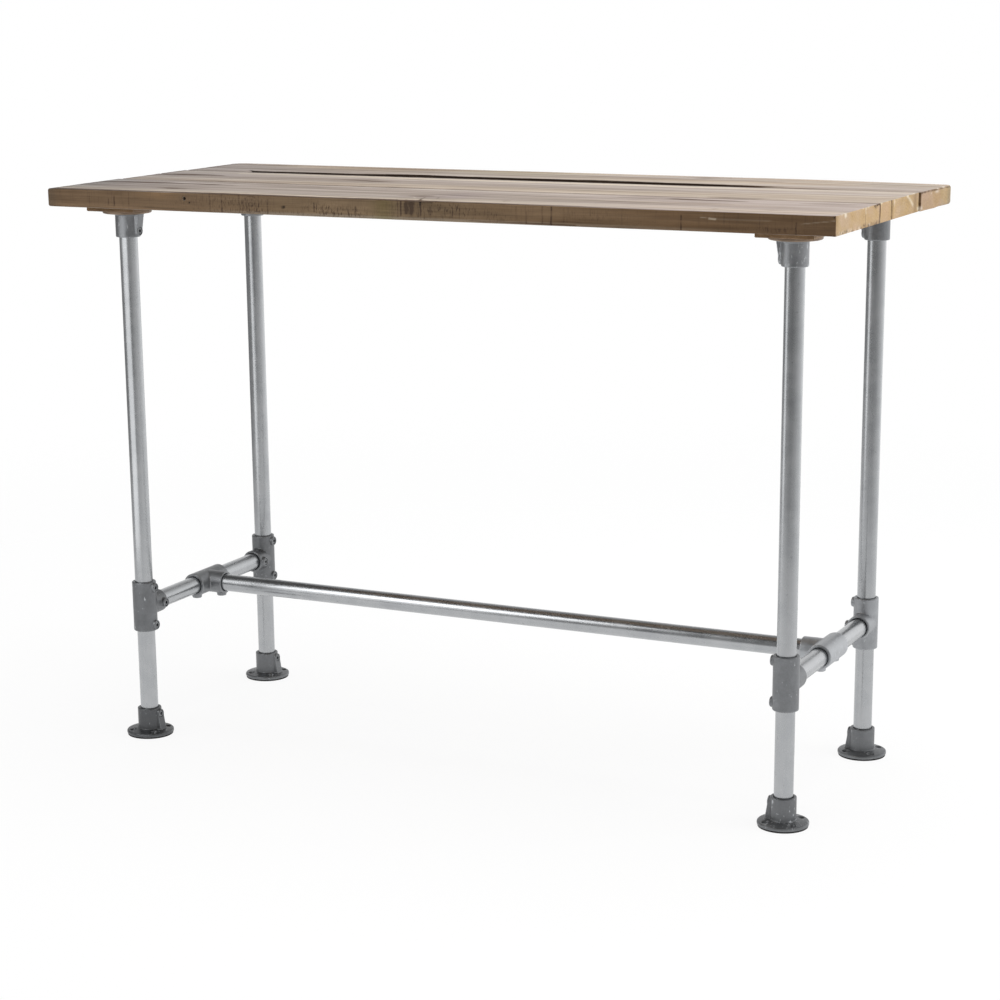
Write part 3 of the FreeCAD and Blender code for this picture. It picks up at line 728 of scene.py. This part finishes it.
def front_edge_marks(board):
    """Saw marks, a knot, ticks and rings on the table's front edge, and its changes of tone."""
    x, z, front = board.x, board.z, board.on_front
    uprights = [(*mark, SAW_MARK_WIDTH) for mark in SAW_MARKS] + list(KNOT_MARKS)
    for mark_x, low, high, strength, width in uprights:
        board.line("front", "stain_and_shade", ((mark_x, low), (mark_x, high)), width, strength)
    for patch in TICK_PATCHES:
        board.spot("front", "ticks", *patch)
    ring = np.hypot(x + 318, (z - 1034) * 1.1) + board.jitter * 1.5
    for radius, strength in ((4, 0.6), (10, 0.5), (16, 0.5)):
        board.paint("stain_and_shade", front * strength * bump(ring, radius, 1.4))
    places = (-750, -450, -250, -80, 50, 200, 350, 500, 750)
    level = np.interp(x, places, (0.8, 0.84, 1.1, 1.08, 1, 0.98, 0.84, 0.7, 0.68))
    cool = np.interp(x, places, (-0.2, 0.1, 1, 1.1, 1, 0.3, 0, -0.7, -0.6))
    board.shade(front, level)
    board.tint(front * cool, 0.95, 1.03, 1.12)
    board.tint(front * smooth(-715, -750, x), 0.74, 0.8, 0.92)
    board.tint(front * bump(x, -505, 35) * smooth(1034, 1042, z), 1.25, 1.2, 1.1)
    board.tint(front * bump(x, -55, 20), 0.86, 0.92, 0.72)
    board.tint(front * smooth(1033, 1026, z) * smooth(550, 700, x), 0.78, 0.76, 0.74)
    board.paint("pale_wood_and_highlight", front * smooth(1024, 1020, z) * smooth(-450, -300, x) * smooth(600, 500, x) * 0.15)


def top_tone_and_sheen(board):
    """Darker bluish grey at the left of the upper face and paler at the right: partly the wood's own tone,
    partly a painted sheen of the light along the top.
    """
    tone = np.interp(board.x, (-750, -550, -200, 100, 750), (0.76, 0.88, 0.96, 0.97, 1.06))
    board.shade(board.on_top, tone)
    board.tint(board.on_top * smooth(-350, -750, board.x), 0.97, 1, 1.06)


def front_board():
    """The front board, with its knots, holes, a front arris painted dark for stain and shade, a painted
    highlight behind it, and a marked front edge.
    """
    zones_x = [(-410, -275, 1.5), (-80, 60, 1.2), (-464, -439.5, 1), (518, 550, 1.2), (140, 156, 1.5)]
    zones_x += [(mark[0] - 3, mark[0] + 3.5, 1) for mark in SAW_MARKS]
    board = Board("board_front", 1, zones_x, [(-316, -200, 1.8), (-172, -166, 0.6)])
    x, y, top, end = board.x, board.y, board.on_top, board.on_right
    board.round_edges(arris(board, 1, 1.6) + 2.2 * smooth(board.low[0] + 14, board.low[0] + 2, x))
    board.streaks(FRONT_STREAKS)
    board.knot(-30, -226, 52, 34, 0.7)
    board.knot(2, -318, 50, 22, 0.8)
    board.knot(620, -262, 30, 12, 0.2)
    board.knot(-533, -240, 36, 15, 1)
    board.weather(0.5, 0.9)
    board.split(1, (-169, -171), 50, 0.9, 2, 0.45)
    board.mark(FRONT_LINES, FRONT_SPOTS, FRONT_HOLES)
    front_edge_marks(board)
    # Dark paint along the front arris: partly stain, partly painted shade of the rounded arris
    inward = y - board.low[1] + board.sway * 5 + board.jitter * 3
    arris_stain_and_shade = np.interp(x, (-750, 100, 400, 700), (1, 1, 0.8, 0.2))
    reach = np.interp(x, (-750, -100, 200, 700), (28, 25, 20, 12))
    board.paint("stain_and_shade", top * arris_stain_and_shade * smooth(reach, reach * 0.6, inward))
    # A painted highlight: a pale line just behind the dark arris band
    board.paint("pale_wood_and_highlight", top * 0.3 * bump(inward, reach + 7, 6) * smooth(300, 0, x))
    board.tint(top * bump(x, 30, 42) * bump(y, -195, 50), 0.9, 0.88, 0.95)
    worn = smooth(-360, -240, x) * smooth(100, 0, x) * smooth(-296, -282, y) * smooth(-225, -250, y)
    board.tint(top * worn * (1 + 0.5 * noise_at(board.flat, (2, 60, 60), 31)), 0.79, 0.78, 0.78)
    board.tint(top * smooth(-660, -745, x) * smooth(-290, -260, y), 0.9, 0.95, 0.98)
    board.tint(top * smooth(100, 500, x), 1, 0.985, 1.01)
    board.paint("stain_and_shade", top * 0.25 * smooth(-9, -3, y - board.high[1]))
    foot = end * smooth(1026, 1019, board.z + board.jitter * 1.5)
    board.paint("ticks", foot * 0.7)
    board.paint("pale_wood_and_highlight", foot * 0.45 * smooth(-0.1, 0.3, board.jitter) * smooth(-160, -200, y))
    board.tint(foot * smooth(-200, -160, y), 0.76, 0.74, 0.74)
    board.tint(end * smooth(-300, -318, y), 0.82, 0.78, 0.74)
    board.tint(end * smooth(-240, -270, y), 0.98, 1, 1.02)
    board.chip_edges(0.7)
    return board


def middle_board():
    """The middle board, with grime, wear, painted shade and a painted highlight along its rear edge, and a
    split at each end.
    """
    zones_y = [(98, 128, 1.2), (-36, -14, 0.8), (20, 100, 1.6)]
    board = Board("board_middle", 2, [(-605, -592, 1.2)], zones_y)
    x, y, top, end = board.x, board.y, board.on_top, board.on_right
    board.round_edges(arris(board, 0.9, 1.2 * (1 - 0.9 * smooth(0, 50, y))))
    board.streaks(MIDDLE_STREAKS)
    board.knot(-288, 46, 60, 40, 0.35)
    board.weather(0.4, 0.7)
    board.tint(top * bump(x, -440, 140) * bump(y, -52, 22), 1.1, 1.11, 1.13)
    edge = board.high[1]
    opened = np.interp(x, (-602, -590, -400, -280, -200, -120, 80, 240, 420, 620),
                       (0, 0.7, 0.75, 1, 1, 0.85, 1, 1, 0.7, 0))
    board.points[:, 2] -= board.near_top() * opened * smooth(edge - 60, edge - 1, y) * 0.4
    crest = y + board.sway * 4 - edge
    # Pale paint along the crest: worn wood and a painted highlight
    board.paint("pale_wood_and_highlight", top * (0.25 + 0.3 * opened) * bump(crest, -30, 14))
    # Dark paint at the rear edge: grime and painted shade by the gap between the boards
    board.paint("stain_and_shade", top * opened * smooth(-12, -3, crest) * 0.9)
    board.paint("dirt_and_shade", top * opened * smooth(-6, -1, crest) * 0.7)
    board.split(1, (-29, -18), 100, 2.4, 3, 0.75)
    board.split(-1, (40, 26), 190, 5, 4, 0.9)
    notch = smooth(14, 4, board.from_right) * smooth(1026, 1030, board.z)
    board.points[:, 1] -= notch * smooth(8, 0, edge - y) * 0.8
    board.mark(MIDDLE_LINES, MIDDLE_SPOTS)
    board.paint("stain_and_shade", board.on_left * bump(y, 40, 6) * 0.5)
    board.tint(end * smooth(-10, -30, y), 0.98, 0.95, 0.86)
    board.tint(end * bump(y, 107, 10), 0.72, 0.7, 0.68)
    board.tint(end * smooth(-10, 30, y), 0.92, 0.92, 0.88)
    board.paint("stain_and_shade", top * 0.2 * smooth(9, 3, y - board.low[1]))
    board.chip_edges(0.9)
    return board


def rear_board():
    """The rear board, with a torn front edge painted dark for grime and for the shade in its hollow, two
    rounded corners and a knot.
    """
    board = Board("board_rear", 3, [(-625, -579.5, 1.5)], [(130, 170, 1.3)])
    x, y, z, top, end = board.x, board.y, board.z, board.on_top, board.on_right
    board.round_edges(arris(board, 1.2, 1.6) + 5 * smooth(660, 740, x) * smooth(200, 250, y))
    board.round_corner(-1, 1, 26)
    board.round_corner(1, 1, 9)
    board.streaks(REAR_STREAKS)
    board.knot(295, 276, 45, 26, 0.8)
    board.weather(0.4, 0.3)
    reach = np.interp(x, (-600, -360, -300, -240, -160, 60, 130, 200, 260, 420, 600),
                      (18, 24, 36, 42, 34, 37, 43, 40, 34, 25, 14)) + board.sway * 4
    grime_and_shade_span = smooth(-605, -590, x) * smooth(560, 340, x)
    inward = y - board.low[1] - board.jitter * 2
    torn = smooth(reach + 1, reach - 3, inward)
    board.points[:, 2] -= board.near_top(6) * grime_and_shade_span * torn * (5.4 + 0.8 * board.jitter)
    # Dark paint in the torn hollow: grime and painted shade
    board.paint("stain_and_shade", top * grime_and_shade_span * smooth(reach + 6, reach, inward) * 1.5)
    board.paint("dirt_and_shade", top * grime_and_shade_span * np.maximum(bump(inward, reach - 1, 4), 0.55 * torn) * 1.1)
    droop = smooth(450, 750, x) * smooth(130, 320, y)
    under = smooth(722, 750, x) * smooth(130, 320, y)
    share = (z - board.low[2]) / (board.high[2] - board.low[2])
    board.points[:, 2] -= droop * share * 1.7 + under * (1 - share) * 3.2
    faint = smooth(400, 460, x) * smooth(620, 500, x)
    board.paint("stain_and_shade", top * faint * 0.9 * smooth(16, 8, inward))
    board.mark(REAR_LINES, REAR_SPOTS)
    board.tint(top * bump(x, -70, 130) * smooth(210, 240, y), 0.95, 0.96, 0.86)
    board.tint(top * bump(x, 650, 60) * smooth(200, 230, y), 0.9, 0.93, 0.97)
    board.paint("stain_and_shade", end * smooth(1045.5, 1047.5, z + board.jitter * 1.5) * 0.65)
    board.tint(end, 0.84, 0.87, 0.9)
    board.tint(end * smooth(255, 245, y), 1, 0.95, 0.97)
    board.tint(end * smooth(288, 298, y), 0.78, 0.82, 0.84)
    board.chip_edges(1)
    return board


def dark_left_end(board):
    """Grime along the upper arris of a board's left end."""
    inward = board.x - board.low[0] + board.sway * 6
    board.paint("stain_and_shade", board.on_top * 0.8 * smooth(16, 5, inward))


def joint_walls(board):
    """Paint on the walls that face the joints between the boards: near black for grime and painted shade in
    the gaps, brown and pale near the right end.
    """
    walls = board.on_front * (board.low[1] > -300) + board.on_rear * (board.high[1] < 300)
    end = smooth(16, 8, board.from_right)
    tip = smooth(8, 3, board.from_right)
    foot = smooth(1028, 1023, board.z)
    # Grime and painted shade in the gaps, away from the right end
    board.paint("dirt_and_shade", walls * (1 - end))
    board.paint("stain_and_shade", walls * end * (1 - 0.45 * tip) * (1 - 0.8 * tip * foot))
    board.paint("pale_wood_and_highlight", walls * tip * foot * 0.7)


def make_boards():
    """The three boards in place of their nodes, each with the middle of its year rings in metres."""
    for board, heart, warm in (
        (front_board(), (-0.16, 0.93), 0.2),
        (middle_board(), (0.02, 0.9), 0.2),
        (rear_board(), (0.24, 0.95), 0.5),
    ):
        top_tone_and_sheen(board)
        dark_left_end(board)
        joint_walls(board)
        board.piece(timber(board.node, board.seed, heart, warm))


# Castings

def cast_mesh(node, to_local, name):
    """The mesh of a casting in its own frame, with the soft edges and uneven skin of a cast part."""
    master = put_object(name, bpy.data.objects[node].data.copy())
    master.data.transform(to_local)
    weld = master.modifiers.new("weld", "WELD")
    weld.merge_threshold = 0.01 * MM
    remesh = master.modifiers.new("remesh", "REMESH")
    remesh.mode = "VOXEL"
    remesh.voxel_size = CAST_VOXEL
    soften = master.modifiers.new("soften", "SMOOTH")
    soften.factor = 0.5
    soften.iterations = 5
    thin = master.modifiers.new("thin", "DECIMATE")
    thin.ratio = 0.45
    graph = bpy.context.evaluated_depsgraph_get()
    graph.update()
    mesh = bpy.data.meshes.new_from_object(master.evaluated_get(graph))
    mesh.name = name
    bpy.data.objects.remove(master)
    points = np.empty(len(mesh.vertices) * 3)
    mesh.vertices.foreach_get("co", points)
    points = points.reshape(-1, 3)
    normals = np.array([vertex.normal for vertex in mesh.vertices])
    skin = noise_at(points / MM, (110, 110, 110), 21) * 0.12 - 0.15
    points += normals * skin[:, None] * MM
    mesh.vertices.foreach_set("co", points.ravel())
    mesh.shade_smooth()
    return mesh


def frame_of(local_x, local_y, place):
    """The matrix that takes a casting's own frame to its place on the table."""
    local_x, local_y = Vector(local_x), Vector(local_y)
    turned = Matrix((local_x, local_y, local_x.cross(local_y))).transposed()
    return Matrix.Translation(place) @ turned.to_4x4()


def put_casting(mesh, node, place, material):
    """One casting in place of its node."""
    copied = mesh.copy()
    copied.transform(place)
    copied.materials.clear()
    copied.materials.append(material)
    piece = put_object(node + "_cast", copied)
    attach(piece, "root")
    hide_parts(node)


def middle_of(node):
    """The middle of a node's box."""
    return [(low + high) / 2 for low, high in zip(*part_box(node))]


def make_castings():
    """The flanges and tees in place of their nodes."""
    leg_x = middle_of("upper_leg_front_right")[0]
    leg_y = middle_of("upper_leg_rear_right")[1]
    rail_z = middle_of("leg_tee_front_left")[2]
    foot_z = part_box("foot_pad_front_left")[1].z
    head_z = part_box("batten_left")[0].z
    # The levels are painted light and shade: lit and shaded copies of one finish, set casting by casting,
    # darkest on the left, away from the light
    plain = casting("galvanised_casting", 0.25)
    shaded_left = casting("shaded_left_casting", 0.19)
    finish = {
        "top_flange_front_left": casting("brown_disc_casting", 0.22, 0, head_z - BROWN_DISC_DEPTH),
        "top_flange_front_right": casting("scuffed_casting", 0.29, 0.06, head_z - BROWN_DISC_DEPTH),
        "foot_flange_front_right": casting("speckled_casting", 0.18, 0.05),
        "foot_flange_front_left": casting("deeply_shaded_casting", 0.115),
        "leg_tee_front_right": casting("half_shaded_casting", 0.225),
        "leg_tee_rear_right": casting("lit_right_casting", 0.36),
        "rail_tee_right": casting("brightly_lit_casting", 0.45),
        "foot_flange_rear_left": shaded_left, "foot_flange_rear_right": shaded_left,
        "leg_tee_front_left": shaded_left, "leg_tee_rear_left": shaded_left,
    }
    flanges = {}
    tees = {}
    for side, sx in SIDES:
        inward = (-sx, 0, 0)
        x = sx * leg_x
        for row, sy in ROWS:
            leg = row + "_" + side
            y = sy * leg_y
            flanges["foot_flange_" + leg] = frame_of(inward, (0, -sx, 0), (x, y, foot_z))
            flanges["top_flange_" + leg] = frame_of(inward, (0, sx, 0), (x, y, head_z))
            tees["leg_tee_" + leg] = frame_of(inward, (0, -sy, 0), (x, y, rail_z))
        tees["rail_tee_" + side] = frame_of((0, 0, -1), inward, (x, 0, rail_z))
    for name, places in (("flange_casting", flanges), ("tee_casting", tees)):
        first = next(iter(places))
        mesh = cast_mesh(first, places[first].inverted(), name)
        for node, place in places.items():
            put_casting(mesh, node, place, finish.get(node, plain))


# Nodes that keep their shape

def dress(node, material, bevel=0.0):
    """Gives a node its finish and, where it is wanted, softened edges."""
    piece = bpy.data.objects[node]
    for holder in piece.material_slots:
        holder.material = material
    if bevel:
        soften = piece.modifiers.new("soften", "BEVEL")
        soften.width = bevel
        soften.segments = 2
        soften.limit_method = "ANGLE"
        soften.angle_limit = math.radians(50)


def dress_nodes():
    """The finish of tubes, battens, pads and screws."""
    upright = galvanised("galvanised_upright", 2)
    crossing = galvanised("galvanised_crossing", 1)
    steel = plain_steel("set_screw_steel", (86, 88, 90), (150, 152, 154))
    zinc = plain_steel("wood_screw", (150, 148, 140), (196, 194, 188))
    pad = rubber()
    for leg in LEGS:
        dress("upper_leg_" + leg, upright)
        dress("lower_leg_" + leg, upright)
        dress("end_rail_" + leg, crossing)
        dress("set_screws_" + leg, steel)
        dress("foot_pad_" + leg, pad, 0.4 * MM)
    dress("footrest_tube", galvanised("galvanised_lengthwise", 0))
    for side, sx in SIDES:
        dress("set_screws_rail_tee_" + side, steel)
        dress("batten_screws_" + side, zinc)
        dress("flange_screws_" + side, zinc)
        wood = timber("batten_timber_" + side, 7 + sx, (0.6 * sx, 0.93), painted=False, along_y=True)
        dress("batten_" + side, wood)


# Studio and camera

def rays(tree, *kinds):
    """1 for rays of these kinds, and 0 for others."""
    path = tree.node("LightPath")
    return tree.chain("MAXIMUM", *[path[kind] for kind in kinds])


def make_floor():
    """A pale floor that keeps the table's shadow and fades into the white background."""
    ring = bmesh.new()
    bmesh.ops.create_circle(ring, cap_ends=True, segments=96, radius=FLOOR_RADIUS + FLOOR_EDGE)
    mesh = bpy.data.meshes.new("studio_floor")
    ring.to_mesh(mesh)
    ring.free()
    floor = put_object("studio_floor", mesh)
    material, tree = new_material("studio_floor")
    reach = tree.node("VectorMath", {0: tree.place()}, operation="LENGTH")["Value"]
    fade = tree.between(reach, FLOOR_RADIUS - FLOOR_EDGE, FLOOR_RADIUS + FLOOR_EDGE * 0.9)
    paint = tree.node("BsdfDiffuse", {"Color": FLOOR_COLOUR})[0]
    white = tree.node("Emission", {"Color": (1, 1, 1, 1), "Strength": 1})[0]
    clear = tree.node("BsdfTransparent")[0]
    seen = rays(tree, "Is Camera Ray", "Is Glossy Ray", "Is Transmission Ray")
    share = tree.times(seen, 1 - SHADOW_SHARE)
    shown = tree.node("MixShader", {0: share, 1: paint, 2: white})[0]
    tree.node("OutputMaterial", {0: tree.node("MixShader", {0: fade, 1: shown, 2: clear})[0]})
    mesh.materials.append(material)


def make_world():
    """White for the camera, even light for surfaces, and for metal a dim studio with bands of light."""
    world = bpy.data.worlds.new("studio")
    bpy.context.scene.world = world
    world.use_nodes = True
    tree = Tree(world.node_tree)
    x, y, z = tree.split(tree.place("Generated"))
    azimuth = tree.math("ARCTAN2", x, tree.times(y, -1))
    turn = tree.add(tree.times(azimuth, 0.5 / math.pi), 0.5)
    greys = []
    for degrees, level in STUDIO_BANDS:
        share = level / STUDIO_PEAK
        greys.append((degrees / 360 + 0.5, (share, share, share, 1)))
    bands = tree.ramp(turn, greys)
    overhead = tree.between(z, 0.25, 0.75, STUDIO_PEAK, STUDIO_PEAK * 0.35)
    studio = tree.node("Background", {"Color": bands, "Strength": overhead})[0]
    even = tree.node("Background", {"Color": (1, 1, 1, 1), "Strength": WORLD_LEVEL})[0]
    white = tree.node("Background", {"Color": (1, 1, 1, 1), "Strength": 1})[0]
    shown = tree.node("MixShader", {0: rays(tree, "Is Glossy Ray"), 1: even, 2: studio})[0]
    seen = rays(tree, "Is Camera Ray", "Is Transmission Ray")
    tree.node("OutputWorld", {0: tree.node("MixShader", {0: seen, 1: shown, 2: white})[0]})


def make_lamps():
    """Large soft lamps, and white panels that show only in the metal."""
    for name, place, aim, size, power, is_panel in LAMPS:
        light = bpy.data.lights.new(name, "AREA")
        light.shape = "RECTANGLE"
        light.size, light.size_y = size
        light.energy = power
        lamp = put_object(name, light)
        lamp.location = place
        lamp.rotation_euler = (Vector(aim) - Vector(place)).to_track_quat("-Z", "Y").to_euler()
        lamp.visible_glossy = is_panel
        lamp.visible_diffuse = not is_panel
        lamp.visible_camera = False


def make_camera():
    """The camera, placed and turned as the photograph's."""
    forward = Vector((math.cos(CAMERA_PITCH) * math.sin(CAMERA_YAW),
                      math.cos(CAMERA_PITCH) * math.cos(CAMERA_YAW), -math.sin(CAMERA_PITCH)))
    level = Vector((math.cos(CAMERA_YAW), -math.sin(CAMERA_YAW), 0))
    down = forward.cross(level)
    right = math.cos(CAMERA_ROLL) * level + math.sin(CAMERA_ROLL) * down
    up = math.sin(CAMERA_ROLL) * level - math.cos(CAMERA_ROLL) * down
    lens = bpy.data.cameras.new("camera")
    lens.sensor_width = SENSOR_WIDTH_MM
    lens.lens = FOCAL_PIXELS / FRAME_PIXELS * SENSOR_WIDTH_MM
    lens.shift_x = 0.5 - CENTRE_PIXELS[0] / FRAME_PIXELS
    lens.shift_y = CENTRE_PIXELS[1] / FRAME_PIXELS - 0.5
    lens.clip_end = 50
    camera = put_object("camera", lens)
    turned = Matrix((right, up, -forward)).transposed().to_4x4()
    camera.matrix_world = Matrix.Translation(CAMERA_PLACE) @ turned
    bpy.context.scene.camera = camera


for name in ("Camera", "Cube", "Light"):
    if name in bpy.data.objects:
        bpy.data.objects.remove(bpy.data.objects[name])
bpy.context.scene.view_settings.view_transform = "Standard"
make_camera()
make_world()
make_floor()
make_lamps()
make_boards()
make_castings()
dress_nodes()
